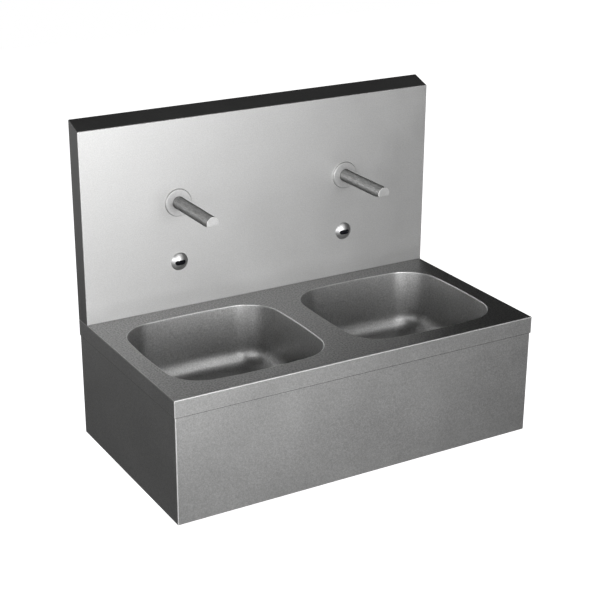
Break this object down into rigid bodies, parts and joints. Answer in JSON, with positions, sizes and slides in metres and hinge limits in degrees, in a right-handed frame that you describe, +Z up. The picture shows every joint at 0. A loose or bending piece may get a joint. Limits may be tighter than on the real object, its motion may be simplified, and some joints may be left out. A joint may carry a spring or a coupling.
{
  "type": "double wash sink",
  "caption": "Wall-hung stainless steel double wash sink with box splashback, straight spouts, touch-free sensors, apron, traps and stop valves.",
  "frame": {"origin": "middle of the four wall fixings, on the wall plane, level with the top of the deck", "axes": "+X to the user's right, +Y into the wall, +Z up"},
  "size_m": [0.9, 0.494, 0.7485],
  "materials": {
    "brushed_sheet": "fine satin grain along the sheet",
    "satin_panel": "light satin, soft sheen",
    "bowl_steel": "satin pressed steel",
    "satin_steel": "satin",
    "zinc_steel": "dull zinc plate",
    "chrome": "polished",
    "brass": "cast and turned",
    "dark_glass": "gloss, passes infrared light",
    "rubber": "matt",
    "braided_hose": "fine wire braid",
    "cable_sheath": "smooth sheath",
    "grey_plastic": "fine moulded texture",
    "dark_plastic": "moulded",
    "blue_plastic": "dipped grip",
    "green_board": "lacquered board"
  },
  "bodies": {
    "basin": {"deck": "brushed_sheet", "splashback": "satin_panel", "left_bowl": "bowl_steel", "right_bowl": "bowl_steel", "front_rail": "zinc_steel", "apron": "brushed_sheet", "apron_screws": "zinc_steel", "left_wall_bracket": "zinc_steel", "right_wall_bracket": "zinc_steel", "deck_nuts": "zinc_steel", "left_spout_tube": "satin_steel", "right_spout_tube": "satin_steel", "left_spout_flange": "satin_steel", "right_spout_flange": "satin_steel", "left_spout_outlet": "satin_steel", "right_spout_outlet": "satin_steel", "spout_nuts": "zinc_steel", "left_spout_hose": "braided_hose", "right_spout_hose": "braided_hose", "left_sensor_dome": "chrome", "right_sensor_dome": "chrome", "left_sensor_window": "dark_glass", "right_sensor_window": "dark_glass", "sensor_nuts": "brass", "left_sensor_cable": "cable_sheath", "right_sensor_cable": "cable_sheath", "left_waste_body": "chrome", "right_waste_body": "chrome", "left_strainer": "chrome", "right_strainer": "chrome", "strainer_screws": "chrome", "waste_gaskets": "rubber", "waste_nuts": "brass", "left_trap_head": "chrome", "right_trap_head": "chrome", "left_trap_cup": "chrome", "right_trap_cup": "chrome", "left_trap_pipe": "chrome", "right_trap_pipe": "chrome", "left_solenoid_body": "brass", "right_solenoid_body": "brass", "left_solenoid_coil": "dark_plastic", "right_solenoid_coil": "dark_plastic", "left_plunger_spring": "zinc_steel", "right_plunger_spring": "zinc_steel", "left_coil_cable": "cable_sheath", "right_coil_cable": "cable_sheath", "left_stop_valve": "brass", "right_stop_valve": "brass", "control_box": "grey_plastic", "control_lid": "grey_plastic", "circuit_board": "green_board", "battery_pack": "dark_plastic"},
    "left_stop_handle": {"left_stop_ball": "chrome", "left_stop_lever": "blue_plastic"},
    "right_stop_handle": {"right_stop_ball": "chrome", "right_stop_lever": "blue_plastic"},
    "left_plunger": {"left_plunger": "zinc_steel"},
    "right_plunger": {"right_plunger": "zinc_steel"}
  },
  "joints": [
    {"name": "left_stop_turn", "type": "hinge", "parent": "basin", "child": "left_stop_handle", "pos_m": [-0.157, -0.028, -0.153], "axis": [0, -1, 0], "range_deg": [0, 90]},
    {"name": "left_plunger_slide", "type": "slide", "parent": "basin", "child": "left_plunger", "axis": [0, -1, 0], "range_m": [0, 0.0025], "stiffness_N_per_m": 400, "springref_m": -0.004, "deforming": ["left_plunger_spring"]},
    {"name": "right_stop_turn", "type": "hinge", "parent": "basin", "child": "right_stop_handle", "pos_m": [0.157, -0.028, -0.153], "axis": [0, 1, 0], "range_deg": [0, 90]},
    {"name": "right_plunger_slide", "type": "slide", "parent": "basin", "child": "right_plunger", "axis": [0, -1, 0], "range_m": [0, 0.0025], "stiffness_N_per_m": 400, "springref_m": -0.004, "deforming": ["right_plunger_spring"]}
  ]
}
